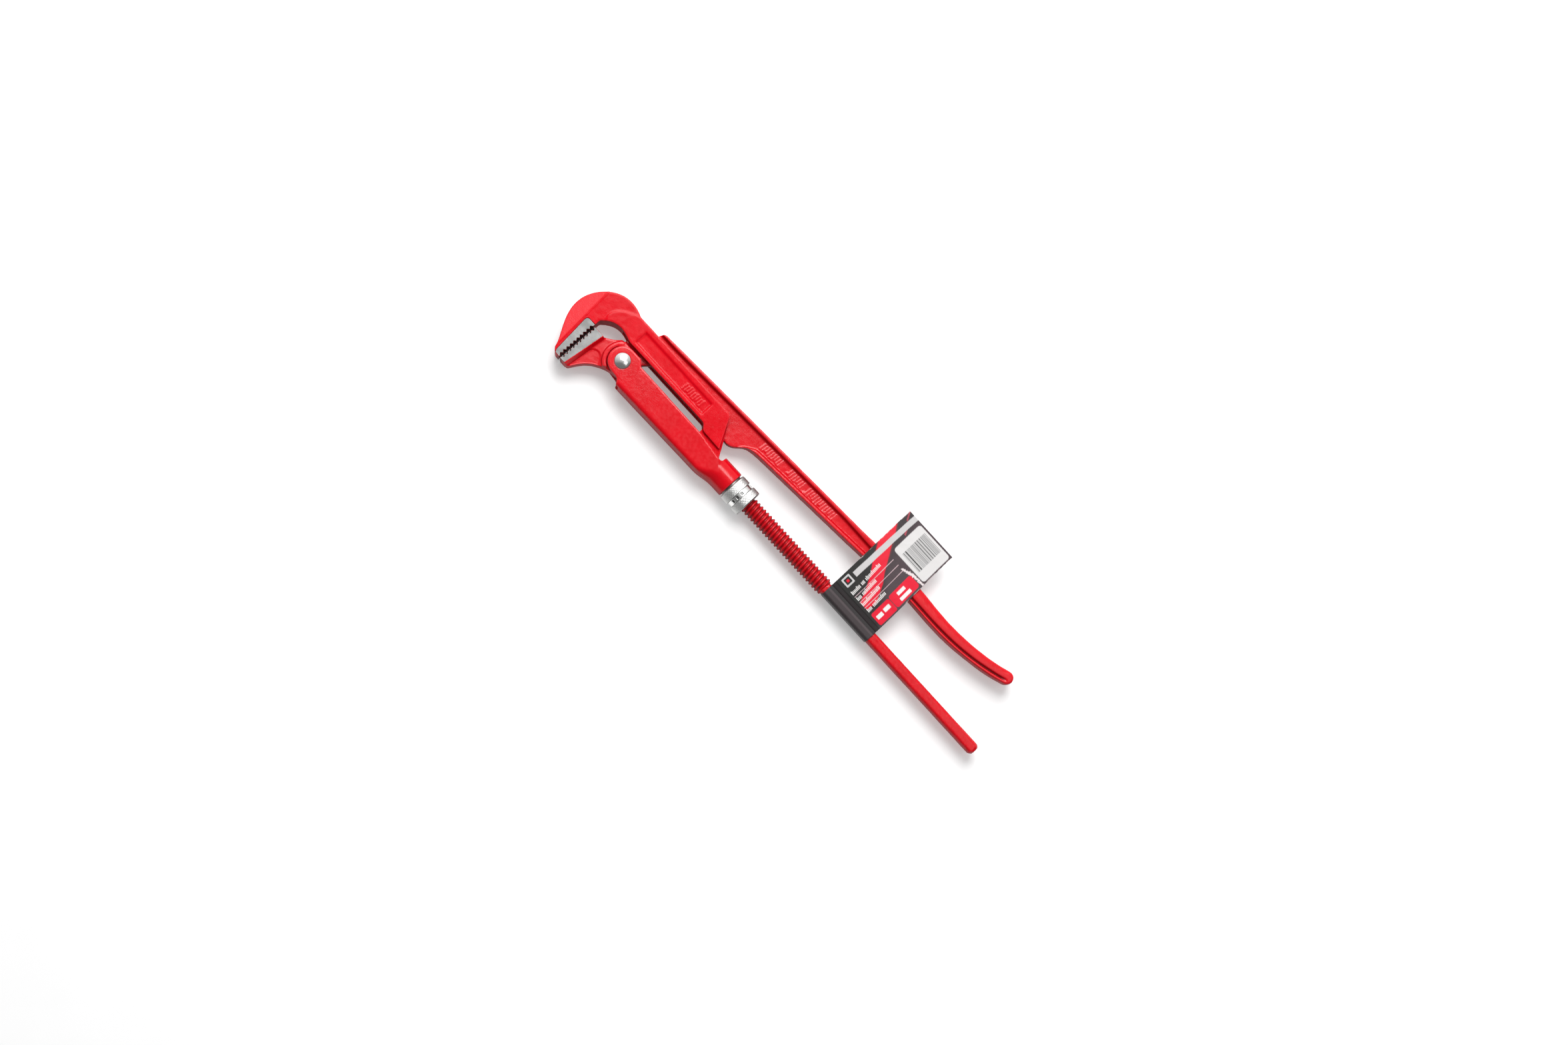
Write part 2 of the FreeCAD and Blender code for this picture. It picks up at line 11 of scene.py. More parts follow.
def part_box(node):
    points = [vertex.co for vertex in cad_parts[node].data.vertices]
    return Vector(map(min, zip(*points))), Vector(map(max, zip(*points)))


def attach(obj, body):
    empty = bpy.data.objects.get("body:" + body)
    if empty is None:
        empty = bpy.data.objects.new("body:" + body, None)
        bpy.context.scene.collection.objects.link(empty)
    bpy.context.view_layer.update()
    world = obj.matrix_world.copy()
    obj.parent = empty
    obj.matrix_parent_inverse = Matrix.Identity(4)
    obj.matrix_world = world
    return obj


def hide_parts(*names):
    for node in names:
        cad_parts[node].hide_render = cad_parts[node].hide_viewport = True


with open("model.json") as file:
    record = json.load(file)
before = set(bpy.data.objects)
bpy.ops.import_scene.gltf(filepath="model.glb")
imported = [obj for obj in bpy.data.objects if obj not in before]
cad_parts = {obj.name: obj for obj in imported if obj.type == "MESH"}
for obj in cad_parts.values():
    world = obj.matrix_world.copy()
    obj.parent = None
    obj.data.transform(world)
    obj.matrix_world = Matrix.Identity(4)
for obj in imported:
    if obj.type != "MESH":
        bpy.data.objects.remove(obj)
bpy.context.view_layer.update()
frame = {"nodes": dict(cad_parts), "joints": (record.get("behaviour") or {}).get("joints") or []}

# Drawing frame in millimetres: X along the spindle from the pivot, Y and Z from the spindle's axis.
MM = 0.001
joints = {joint["name"]: joint for joint in frame["joints"]}
pivot = joints["jaw_pivot"]["pos_m"]
spindle = joints["nut_spin"]["pos_m"]
ORIGIN = np.array([pivot[0], spindle[1], spindle[2]])
PIVOT_Y = (pivot[1] - spindle[1]) / MM
COARSE = 1.0


def to_mm(points):
    return (np.asarray(points, float) - ORIGIN) / MM


def to_metres(points):
    return ORIGIN + MM * np.asarray(points, float)


def ramp(value, start, end):
    """0 before start, 1 after end, and a smooth step between."""
    share = np.clip((value - start) / (end - start), 0, 1)
    return share * share * (3 - 2 * share)


def node_range(node, axis):
    """Lowest and highest coordinate of a CAD node along an axis, in the drawing frame."""
    low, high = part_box(node)
    return to_mm(low)[axis], to_mm(high)[axis]


# Mesh tools

def new_object(name, mesh):
    piece = bpy.data.objects.new(name, mesh)
    bpy.context.scene.collection.objects.link(piece)
    return piece


def mesh_of(name, points, faces):
    """Smooth-shaded object from points in millimetres and faces."""
    mesh = bpy.data.meshes.new(name)
    mesh.from_pydata([tuple(p) for p in to_metres(points)], [], faces)
    mesh.update()
    mesh.shade_smooth()
    return new_object(name, mesh)


def cad_copy(name, node, low_x=None, high_x=None):
    """Copy of a CAD node's mesh as a closed solid, cut off below low_x and above high_x if they are given."""
    bm = bmesh.new()
    bm.from_mesh(frame["nodes"][node].data)
    bmesh.ops.remove_doubles(bm, verts=bm.verts, dist=0.002 * MM)
    for limit, side in ((low_x, -1), (high_x, 1)):
        if limit is None:
            continue
        geometry = bm.verts[:] + bm.edges[:] + bm.faces[:]
        point = to_metres((limit, 0, 0))
        bmesh.ops.bisect_plane(bm, geom=geometry, plane_co=point, plane_no=(side, 0, 0), clear_outer=True)
        rim = [e for e in bm.edges if e.is_boundary]
        bmesh.ops.holes_fill(bm, edges=rim, sides=0)
    mesh = bpy.data.meshes.new(name)
    bm.to_mesh(mesh)
    bm.free()
    return new_object(name, mesh)


def remesh(piece, voxel):
    """Rebuilds a closed solid as an even mesh of small squares."""
    modifier = piece.modifiers.new("remesh", "REMESH")
    modifier.mode = "VOXEL"
    modifier.voxel_size = voxel * MM * COARSE
    graph = bpy.context.evaluated_depsgraph_get()
    mesh = bpy.data.meshes.new_from_object(piece.evaluated_get(graph))
    piece.modifiers.clear()
    piece.data = mesh
    mesh.shade_smooth()


def read(piece, what="co"):
    mesh = piece.data
    values = np.zeros(len(mesh.vertices) * 3)
    if what == "co":
        mesh.vertices.foreach_get("co", values)
    else:
        mesh.vertex_normals.foreach_get("vector", values)
    return values.reshape(-1, 3)


def write(piece, points):
    piece.data.vertices.foreach_set("co", np.ascontiguousarray(points).ravel())
    piece.data.update()


def relax(piece, steps, share=0.5):
    """Moves every point towards the middle of its neighbours; share may differ from point to point."""
    points = read(piece)
    count = len(points)
    edges = np.zeros(len(piece.data.edges) * 2, int)
    piece.data.edges.foreach_get("vertices", edges)
    a, b = edges.reshape(-1, 2).T
    degree = np.maximum(np.bincount(a, minlength=count) + np.bincount(b, minlength=count), 1)
    for _ in range(steps):
        middle = np.empty_like(points)
        for k in range(3):
            middle[:, k] = np.bincount(a, points[b, k], count) + np.bincount(b, points[a, k], count)
        middle /= degree[:, None]
        points = points + (middle - points) * np.reshape(share, (-1, 1))
    write(piece, points)


def displace(piece, heights):
    """Moves every point along its normal by a height in millimetres."""
    write(piece, read(piece) + read(piece, "normal") * heights[:, None] * MM)


def lumps(points, size, octaves=2, shift=0.0):
    """Smooth noise between about -1 and 1 whose lumps are about size millimetres across."""
    places = points / size + shift
    return np.array([noise.fractal(Vector(p), 1.0, 2.0, octaves) for p in places])


def attribute(piece, name, values):
    """Number for each point, or a colour for each point, for the material to read."""
    mesh = piece.data
    if values.ndim == 1:
        layer = mesh.attributes.new(name, "FLOAT", "POINT")
        layer.data.foreach_set("value", values.astype(np.float32))
    else:
        layer = mesh.attributes.new(name, "FLOAT_COLOR", "POINT")
        colours = np.ones((len(values), 4), np.float32)
        colours[:, :3] = values
        layer.data.foreach_set("color", colours.ravel())


def inside(points, corners):
    """Distance of each point's (x, y) into a polygon, negative outside, in millimetres."""
    x, y = points[:, 0], points[:, 1]
    odd = np.zeros(len(x), bool)
    nearest = np.full(len(x), 1e9)
    for (x0, y0), (x1, y1) in zip(corners, corners[1:] + corners[:1]):
        crosses = (y0 > y) != (y1 > y)
        with np.errstate(divide="ignore", invalid="ignore"):
            at = x0 + (y - y0) * (x1 - x0) / (y1 - y0)
        odd ^= crosses & (x < at)
        nearest = np.minimum(nearest, to_segment(points, (x0, y0), (x1, y1)))
    return np.where(odd, nearest, -nearest)


def to_segment(points, start, end):
    """Distance of each point's (x, y) from a line between two points."""
    along = np.array(end, float) - np.array(start, float)
    away = points[:, :2] - np.array(start, float)
    share = np.clip(away @ along / max(along @ along, 1e-9), 0, 1)
    return np.linalg.norm(away - share[:, None] * along, axis=1)


def lathe(name, profile, around, shape):
    """Solid turned about the spindle's axis from a closed list of (X, radius), with shape(x, turn) added."""
    turn = np.linspace(0, 2 * math.pi, around, endpoint=False)
    x = np.array([p[0] for p in profile])[:, None] + 0 * turn
    radius = np.array([p[1] for p in profile])[:, None] + 0 * turn
    turn = turn + 0 * x
    radius = radius + shape(x, turn)
    points = np.stack([x, radius * np.sin(turn), -radius * np.cos(turn)], -1).reshape(-1, 3)
    rows = len(profile)
    faces = []
    for i in range(rows):
        here, there = i * around, (i + 1) % rows * around
        for j in range(around):
            k = (j + 1) % around
            faces.append((here + j, there + j, there + k, here + k))
    return mesh_of(name, points, faces)


def between(start, end, step):
    """Points along a line, about a step apart."""
    count = max(1, int(math.ceil(math.dist(start, end) / (step * COARSE))))
    return [(start[0] + (end[0] - start[0]) * i / count, start[1] + (end[1] - start[1]) * i / count)
            for i in range(count)]


def outline_points(corners, step):
    """Closed outline with extra points along each side."""
    points = []
    for start, end in zip(corners, corners[1:] + corners[:1]):
        points += between(start, end, step)
    return points


# Material tools

class Nodes:
    """Short names for building one material's nodes."""

    def __init__(self, name):
        self.material = bpy.data.materials.new(name)
        self.material.use_nodes = True
        self.tree = self.material.node_tree
        self.shader = self.tree.nodes["Principled BSDF"]
        self.place = self.tree.nodes.new("ShaderNodeTexCoord").outputs["Object"]

    def put(self, socket, value):
        if isinstance(value, bpy.types.NodeSocket):
            self.tree.links.new(value, socket)
        else:
            socket.default_value = value

    def set(self, **values):
        for name, value in values.items():
            self.put(self.shader.inputs[name.replace("_", " ")], value)

    def math(self, operation, *values):
        node = self.tree.nodes.new("ShaderNodeMath")
        node.operation = operation
        for socket, value in zip(node.inputs, values):
            self.put(socket, value)
        return node.outputs[0]

    def mix(self, share, a, b):
        node = self.tree.nodes.new("ShaderNodeMix")
        node.data_type = "RGBA"
        for socket, value in zip((node.inputs[0], node.inputs[6], node.inputs[7]), (share, a, b)):
            self.put(socket, value if isinstance(value, (float, bpy.types.NodeSocket)) else (*value, 1))
        return node.outputs[2]

    def blend(self, share, a, b):
        node = self.tree.nodes.new("ShaderNodeMix")
        for socket, value in zip((node.inputs[0], node.inputs[2], node.inputs[3]), (share, a, b)):
            self.put(socket, value)
        return node.outputs[0]

    def read(self, name, output="Fac"):
        node = self.tree.nodes.new("ShaderNodeAttribute")
        node.attribute_name = name
        return node.outputs[output]

    def noise(self, size, detail=2.0, stretch=(1, 1, 1), turn=(0, 0, 0)):
        """Noise whose features are about size millimetres across."""
        mapping = self.tree.nodes.new("ShaderNodeMapping")
        self.put(mapping.inputs["Vector"], self.place)
        mapping.inputs["Scale"].default_value = [1 / (size * MM * s) for s in stretch]
        mapping.inputs["Rotation"].default_value = turn
        node = self.tree.nodes.new("ShaderNodeTexNoise")
        self.put(node.inputs["Vector"], mapping.outputs[0])
        node.inputs["Scale"].default_value = 1.0
        node.inputs["Detail"].default_value = detail
        return node.outputs["Fac"]

    def step(self, value, low, high, out_low=0.0, out_high=1.0):
        node = self.tree.nodes.new("ShaderNodeMapRange")
        node.interpolation_type = "SMOOTHSTEP"
        for socket, item in zip(node.inputs, (value, low, high, out_low, out_high)):
            self.put(socket, item)
        return node.outputs[0]

    def bump(self, height, distance, before=None):
        """Normal for a height from 0 to 1 that stands for a distance in millimetres."""
        node = self.tree.nodes.new("ShaderNodeBump")
        node.inputs["Strength"].default_value = 1.0
        self.put(node.inputs["Distance"], distance * MM)
        self.put(node.inputs["Height"], height)
        if before is not None:
            self.put(node.inputs["Normal"], before)
        return node.outputs[0]


def dress(piece, material, body, slot, *nodes):
    """Gives a piece its material and body, and lets it stand for CAD nodes; the slot is not used."""
    piece.data.materials.clear()
    piece.data.materials.append(material)
    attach(piece, body)
    if nodes:
        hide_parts(*nodes)
    return piece


# Camera, floor and light

CAMERA_TILT = 8.0
CAMERA_TURN = 47.52
CAMERA_DISTANCE = 1525
CAMERA_TARGET = (-158.7, -10.0, 0.0)
FLOOR_HALF = 14.0
FLOOR_GLOW = 0.30
WORLD_DARK = 0.18
WORLD_BRIGHT = 1.15
WORLD_TOWARD = (0.70, -0.66, 0.18)
WORLD_BEHIND = -0.1
KEY_PLACE = (0.55, -0.75, 1.35)
KEY_SIZE = 1.0
KEY_POWER = 34
OVERHEAD_PLACE = (-0.62, -0.30, 1.45)
OVERHEAD_SIZE = 0.8
OVERHEAD_POWER = 3.2


def make_camera():
    """Looks down at the wrench lying on its side, from a little towards the mouth's open side."""
    tilt = math.radians(CAMERA_TILT)
    turn = math.radians(CAMERA_TURN)
    target = to_metres(CAMERA_TARGET)
    back = Vector((0, math.sin(tilt), math.cos(tilt)))
    across = Vector((0, math.cos(tilt), -math.sin(tilt)))
    along = Vector((1, 0, 0))
    right = -math.cos(turn) * along - math.sin(turn) * across
    up = math.sin(turn) * along - math.cos(turn) * across
    camera = bpy.data.objects.new("camera", bpy.data.cameras.new("camera"))
    camera.data.lens = 50
    camera.data.sensor_width = 36
    camera.data.clip_start = 0.05
    axes = Matrix((right, up, back)).transposed().to_4x4()
    camera.matrix_world = Matrix.Translation(Vector(target) + back * CAMERA_DISTANCE * MM) @ axes
    bpy.context.scene.collection.objects.link(camera)
    bpy.context.scene.camera = camera


def make_floor():
    """Pale acrylic table, lit softly from below."""
    bm = bmesh.new()
    bmesh.ops.create_grid(bm, x_segments=16, y_segments=16, size=FLOOR_HALF)
    mesh = bpy.data.meshes.new("floor")
    bm.to_mesh(mesh)
    bm.free()
    floor = new_object("floor", mesh)
    n = Nodes("floor")
    grain = n.noise(30.0, 3.0)
    n.set(Base_Color=n.mix(grain, (0.61, 0.61, 0.61), (0.63, 0.63, 0.63)), Roughness=0.9,
          Emission_Color=(1, 1, 1, 1), Emission_Strength=FLOOR_GLOW)
    floor.data.materials.append(n.material)


def make_light(name, place, size, power):
    """Square soft light at a place in metres from the wrench's middle, aimed at it."""
    light = bpy.data.objects.new(name, bpy.data.lights.new(name, "AREA"))
    light.data.size = size
    light.data.energy = power
    light.location = place
    light.rotation_euler = (-Vector(place)).to_track_quat("-Z", "Y").to_euler()
    bpy.context.scene.collection.objects.link(light)


def make_world():
    """Studio walls that are pale towards the key light and darker on the other side."""
    world = bpy.data.worlds.new("studio")
    world.use_nodes = True
    tree = world.node_tree
    place = tree.nodes.new("ShaderNodeTexCoord")
    toward = tree.nodes.new("ShaderNodeVectorMath")
    toward.operation = "DOT_PRODUCT"
    toward.inputs[1].default_value = Vector(WORLD_TOWARD).normalized()
    shade = tree.nodes.new("ShaderNodeMapRange")
    shade.inputs["From Min"].default_value = WORLD_BEHIND
    shade.inputs["From Max"].default_value = 1.0
    shade.inputs["To Min"].default_value = WORLD_DARK
    shade.inputs["To Max"].default_value = WORLD_BRIGHT
    tree.links.new(place.outputs["Generated"], toward.inputs[0])
    tree.links.new(toward.outputs["Value"], shade.inputs["Value"])
    tree.links.new(shade.outputs[0], tree.nodes["Background"].inputs["Strength"])
    tree.nodes["Background"].inputs["Color"].default_value = (1, 1, 1, 1)
    bpy.context.scene.world = world


def make_stage():
    make_camera()
    make_floor()
    make_world()
    make_light("key", KEY_PLACE, KEY_SIZE, KEY_POWER)
    make_light("overhead", OVERHEAD_PLACE, OVERHEAD_SIZE, OVERHEAD_POWER)
    bpy.context.scene.view_settings.view_transform = "Standard"


# Materials

RED_DEEP = (0.42, 0.001, 0.004)
RED_BRIGHT = (0.60, 0.001, 0.009)
RED_PAINTED_HIGHLIGHT = (0.70, 0.06, 0.07)
RED_DARK = (0.10, 0.001, 0.002)
GROUND_LOW = (0.11, 0.11, 0.11)
GROUND_HIGH = (0.26, 0.26, 0.255)
GROUND_SMUDGE = (0.13, 0.13, 0.128)
GROUND_SHADE = (0.035, 0.02, 0.018)
BRUSH_TURN = -40
SKIN_SIZE = 0.65
SKIN_HEIGHT = 0.04
BRUSH_HEIGHT = 0.006


def paint_tone(n, mottle, dark, grain_and_highlight, edge, wall):
    """Red paint, with painted glints on the grit, a painted highlight on the outer facet and on outer edges,
    painted shade in creases and on walls, and darker where the mask dark is 1.
    """
    paint = n.mix(n.noise(14.0, 3.0), RED_DEEP, RED_BRIGHT)
    paint = n.mix(n.math("MULTIPLY", mottle, 0.25), paint, RED_BRIGHT)
    # Painted glints on the grit, and a painted highlight where the grain mask is above 0.9, which is the
    # hook's outer facet.
    grit = n.step(n.noise(0.8, 2.0), 0.60, 0.74)
    paint = n.mix(n.math("MULTIPLY", n.math("MULTIPLY", grit, grain_and_highlight), 0.14), paint, RED_PAINTED_HIGHLIGHT)
    paint = n.mix(n.step(grain_and_highlight, 0.9, 1.5, 0.0, 0.42), paint, RED_PAINTED_HIGHLIGHT)
    # Painted highlight on outer edges; painted shade in creases and on walls.
    paint = n.mix(n.math("MULTIPLY", n.step(edge, 0.18, 0.8), 0.30), paint, RED_PAINTED_HIGHLIGHT)
    paint = n.mix(n.math("MULTIPLY", n.step(edge, -0.15, -0.8), 0.75), paint, RED_DARK)
    paint = n.mix(n.math("MULTIPLY", wall, 0.45), paint, RED_DARK)
    # Darker where the mask dark is 1: painted shade in the thread's roots and the grip's groove, and the dark
    # tooth flanks.
    return n.mix(dark, paint, RED_DARK)


def ground_tone(n, brushed, dark):
    """Ground steel with brush marks and smudges."""
    ground = n.mix(brushed, GROUND_LOW, GROUND_HIGH)
    ground = n.mix(n.step(n.noise(9.0, 2.0), 0.40, 0.7), ground, GROUND_SMUDGE)
    return n.mix(dark, ground, GROUND_SHADE)


def red_paint(name, gloss, shine=0.25):
    """Thick glossy paint on a forging, and ground steel where the mask bare is 1.

    The masks bare, dark, edge and wall and the grain mask come with the mesh; the grain mask also sets
    painted glints and a painted highlight, edge sets painted highlights and painted shade, and wall sets
    painted shade.
    """
    n = Nodes(name)
    dark = n.read("dark")
    grain_and_highlight = n.read("grain_and_highlight")
    wall = n.read("wall")
    mottle = n.step(n.noise(2.2, 4.0), 0.30, 0.70)
    brushed = n.noise(0.35, 2.0, (7.0, 1.0, 1.0), (0, 0, math.radians(BRUSH_TURN)))
    paint = paint_tone(n, mottle, dark, grain_and_highlight, n.read("edge"), wall)
    ground = ground_tone(n, brushed, dark)
    ragged = n.math("MULTIPLY", n.noise(0.6, 2.0), 0.16)
    show = n.step(n.math("ADD", n.read("bare"), ragged), 0.50, 0.70)
    skin = n.step(n.noise(SKIN_SIZE, 1.0), 0.25, 0.75)
    depth = n.math("ADD", n.math("MULTIPLY", grain_and_highlight, 0.9), 0.06)
    peel = n.bump(n.math("MULTIPLY", skin, depth), SKIN_HEIGHT)
    fine = n.bump(n.math("MULTIPLY", brushed, show), BRUSH_HEIGHT, peel)
    uneven = n.math("ADD", gloss, n.math("MULTIPLY", mottle, 0.10))
    painted = n.math("ADD", n.math("MULTIPLY", wall, 0.35), uneven)
    not_dark = n.math("SUBTRACT", 1.0, dark)
    metal = n.math("MULTIPLY", n.math("MULTIPLY", show, 0.8), not_dark)
    n.set(Base_Color=n.mix(show, paint, ground), Metallic=metal, Normal=fine,
          Roughness=n.blend(show, painted, 0.42), Coat_Weight=0.04, Coat_Roughness=0.1,
          Specular_IOR_Level=shine)
    return n.material


def steel(name, low, high, roughness, grain):
    """Plain steel with faint turning marks and smudges, nearly black where the mask dark is 1, which holds
    painted shade.
    """
    n = Nodes(name)
    smudge = n.noise(3.0, 4.0)
    marks = n.noise(grain, 2.0, (0.4, 4.0, 4.0))
    dark = n.read("dark")
    tone = n.mix(n.math("MULTIPLY", n.math("ADD", smudge, marks), 0.5), low, high)
    n.set(Base_Color=n.mix(dark, tone, (0.02, 0.02, 0.02)), Metallic=1.0,
          Roughness=n.blend(smudge, roughness * 0.8, roughness * 1.3), Normal=n.bump(marks, 0.01))
    return n.material


def card():
    """Printed and laminated card, with the print, and the painted highlights and painted shade on the fold,
    held in the colour 'print'.
    """
    n = Nodes("printed_card")
    fibre = n.noise(0.35, 3.0)
    tone = n.mix(n.math("MULTIPLY", fibre, 0.035), n.read("print", "Color"), (0.30, 0.28, 0.28))
    n.set(Base_Color=tone, Roughness=n.blend(n.noise(4.0, 3.0), 0.34, 0.5),
          Normal=n.bump(n.noise(2.0, 3.0), 0.02), Specular_IOR_Level=0.2)
    return n.material


# Forgings

VOXEL = 0.5
HOOK_CUT_X = -98.95
BAR_CUT_X = -211.0
JAW_LINE_X = 31.3
TOOTH_REACH = 2.6
TOOTH_FADE = 0.4
TOOTH_LOW_Y = -5.2
TOOTH_HIGH_Y = 29.6
TOOTH_END = 0.6
TOOTH_HOLD = 0.38
GROUND_BOX = (21.0, 40.5, -6.5, 30.3)
GROUND_BOX_Z = 7.2
TOOTH_BOX_REACH = 2.7
HOOK_GROUND = [(29.0, -5.0), (37.6, -5.0), (39.2, -4.2), (39.6, -2.6), (37.1, 26.6), (36.0, 28.6),
               (29.0, 28.9)]
HOOK_GROUND_Z = (8.0, 8.25)
JAW_GROUND = [(21.9, -4.4), (34.0, -4.4), (34.0, 29.4), (26.1, 29.4)]
JAW_GROUND_Z = (7.3, 7.6)
HEAD_SEAM = [(38.9, 27.5), (39.2, 24.0), (42.5, -26.0), (43.2, -31.0)]
CREASE_Y = (-40.0, -26.0, 24.0, 34.0)
CREASE_X = (43.4, 42.4, 39.0, 39.0)
ARM_MARK_X = -59.0
ARM_MARK_STEP = 2.1
ARM_MARK_COUNT = 9
ARM_MARK_Y = (-24.9, -19.6)
SHANK_MARKS = ((-180.0, 13), (-149.0, 7), (-127.0, 9))
SHANK_MARK_STEP = 2.15
SHANK_MARK_Y = (0.2, 5.6)
SHANK_X = -186.0
SHANK_Y = -41.2
SHANK_SLOPE = 0.044
JAW_POCKET = [(22.4, 10.2), (20.5, 7.0), (18.2, 5.5), (15.6, 5.3), (13.1, 6.6), (11.0, 9.0), (8.6, 13.5),
              (7.0, 18.0), (20.0, 30.0), (24.0, 26.0)]
POCKET_DEPTH = 0.55
SLEEVE_GRAIN_X = (-52.0, -34.0)


def spread(piece, values, steps):
    """Averages a number over each point's neighbours, several times."""
    edges = np.zeros(len(piece.data.edges) * 2, int)
    piece.data.edges.foreach_get("vertices", edges)
    a, b = edges.reshape(-1, 2).T
    count = len(values)
    degree = np.maximum(np.bincount(a, minlength=count) + np.bincount(b, minlength=count), 1)
    for _ in range(steps):
        around = (np.bincount(a, values[b], count) + np.bincount(b, values[a], count)) / degree
        values = 0.5 * values + 0.5 * around
    return values


def curvature(piece, reach):
    """Above 0 on outer edges, below 0 in corners and creases, about 1 on a sharp edge."""
    points = read(piece)
    smooth = np.stack([spread(piece, points[:, k], reach) for k in range(3)], -1)
    out = ((points - smooth) * read(piece, "normal")).sum(-1) / MM
    return np.clip(spread(piece, out, 2) * 5.0, -1, 1)


def finish_forging(piece, bare, dark, grain_and_highlight, bump):
    """Adds the cast lumps and the masks that red_paint reads, among them edge, for painted highlights on
    edges and painted shade in creases, and wall, for painted shade on walls.
    """
    attribute(piece, "edge", curvature(piece, 6))
    attribute(piece, "wall", 1 - ramp(spread(piece, np.abs(read(piece, "normal")[:, 2]), 2), 0.2, 0.6))
    displace(piece, bump)
    attribute(piece, "bare", bare)
    attribute(piece, "dark", dark)
    attribute(piece, "grain_and_highlight", grain_and_highlight)


def sharpen(piece, node, zone, cuts):
    """Splits the faces whose corners all pass zone(points) and lays them back on the CAD surface."""
    bm = bmesh.new()
    bm.from_mesh(piece.data)
    wanted = zone(to_mm([v.co for v in bm.verts]))
    for v in bm.verts:
        v.tag = bool(wanted[v.index])
    edges = [e for e in bm.edges if e.verts[0].tag and e.verts[1].tag]
    bmesh.ops.subdivide_edges(bm, edges=edges, cuts=cuts, use_grid_fill=True)
    tree = BVHTree.FromPolygons([v.co for v in frame["nodes"][node].data.vertices],
                                [p.vertices[:] for p in frame["nodes"][node].data.polygons])
    inner = zone(to_mm([v.co for v in bm.verts]))
    for v, yes in zip(bm.verts, inner):
        if yes:
            v.co = tree.find_nearest(v.co)[0]
    bm.to_mesh(piece.data)
    bm.free()
    piece.data.shade_smooth()


def tooth_zone(points):
    """1 in the rows of teeth that face each other."""
    x, y = points[:, 0], points[:, 1]
    across = ramp(TOOTH_REACH - np.abs(x - JAW_LINE_X), 0, TOOTH_FADE)
    ends = ramp(y - TOOTH_LOW_Y, 0, TOOTH_END) * ramp(TOOTH_HIGH_Y - y, 0, TOOTH_END)
    return across * ends


def ground_zone(points):
    """True on the ground flats and in the teeth."""
    x, y, z = points.T
    low_x, high_x, low_y, high_y = GROUND_BOX
    near = (x > low_x) & (x < high_x) & (y > low_y) & (y < high_y)
    return near & ((np.abs(z) > GROUND_BOX_Z) | (np.abs(x - JAW_LINE_X) < TOOTH_BOX_REACH))


def strokes(points, marks, width=0.55, soft=0.5):
    """Raised strokes: 1 on a line between two points, falling to 0 beside it."""
    height = np.zeros(len(points))
    for start, end in marks:
        height = np.maximum(height, 1 - ramp(to_segment(points, start, end), width - soft / 2, width + soft))
    return height


def bar_marks(places, foot, top, lean):
    """Plain upright strokes of varied height at the given X places."""
    marks = []
    for i, x in enumerate(places):
        low = foot(x) + (0.0, 0.9, 0.3)[i % 3]
        high = top(x) - (0.0, 0.5, 1.2, 0.2)[i % 4]
        marks.append(((x, low), (x + lean, high)))
        if i % 3 == 0:
            marks.append(((x + lean, high), (x + lean + 1.4, high)))
    return marks


def make_hook():
    """Head, slotted arm and neck of the hook lever."""
    piece = cad_copy("hook_forging", "hook_lever", low_x=HOOK_CUT_X)
    remesh(piece, VOXEL)
    relax(piece, 3, 0.5 - TOOTH_HOLD * tooth_zone(to_mm(read(piece))))
    sharpen(piece, "hook_lever", ground_zone, 2)
    points = to_mm(read(piece))
    teeth = tooth_zone(points)
    normal = read(piece, "normal")
    x, y, z = points.T
    facing = ramp(np.abs(normal[:, 2]), 0.75, 0.92)
    ground = inside(points, HOOK_GROUND) + 0.12 * lumps(points, 1.2, 2)
    bare = ramp(ground, -0.3, 0.7) * facing * ramp(np.abs(z), *HOOK_GROUND_Z)
    dark = teeth * (1 - facing) * (x > 20)
    painted = 1 - bare
    bump = 0.04 * lumps(points, 4.0, 2) * painted + 0.05 * lumps(points, 9.0, 1, 7.0) * painted
    places = [ARM_MARK_X + ARM_MARK_STEP * i for i in range(ARM_MARK_COUNT)]
    marks = bar_marks(places, lambda x: ARM_MARK_Y[0], lambda x: ARM_MARK_Y[1], 0.4)
    bump += 0.20 * strokes(points, marks) * ramp(np.abs(z), 8.2, 8.4) * facing
    seam = list(zip(HEAD_SEAM, HEAD_SEAM[1:]))
    bump += 0.20 * strokes(points, seam, 0.3, 0.6) * ramp(np.abs(z), 8.0, 8.4) * painted
    bump = (bump - 0.06 * painted) * (1 - teeth)
    # The outer facet gets deeper grain and paler paint: a painted highlight where it faces the light.
    outer = ramp(x - np.interp(y, CREASE_Y, CREASE_X), 0.2, 1.0) * facing
    grain = 0.55 + 1.05 * outer
    finish_forging(piece, bare, dark, grain * painted * (1 - teeth), bump)
    paint = red_paint("hook_paint", gloss=0.17, shine=0.10)
    return dress(piece, paint, "hook_lever", "red_hook", "hook_lever")


def make_bar():
    """Straight handle beyond the thread."""
    piece = cad_copy("straight_handle", "hook_lever", high_x=BAR_CUT_X)
    remesh(piece, VOXEL)
    relax(piece, 5)
    points = to_mm(read(piece))
    bump = 0.06 * lumps(points, 3.0, 2) + 0.10 * lumps(points, 14.0, 1, 3.0) - 0.09
    none = np.zeros(len(points))
    finish_forging(piece, none, none, none + 0.5, bump)
    return dress(piece, red_paint("handle_paint", gloss=0.20), "hook_lever", "red_hook", "hook_lever")


THREAD_PITCH = 3.0
THREAD_LOW_X = -211.9
THREAD_HIGH_X = -98.0
CREST = 6.62
ROOT = 5.45
CREST_FADE = (0.14, 0.92)
THREAD_STEP = 0.2
THREAD_SIDES = 88
WORN_PLACE = (-208.6, 3.4, 5.4)
WORN_SIZE = (0.8, 2.6, 2.0)


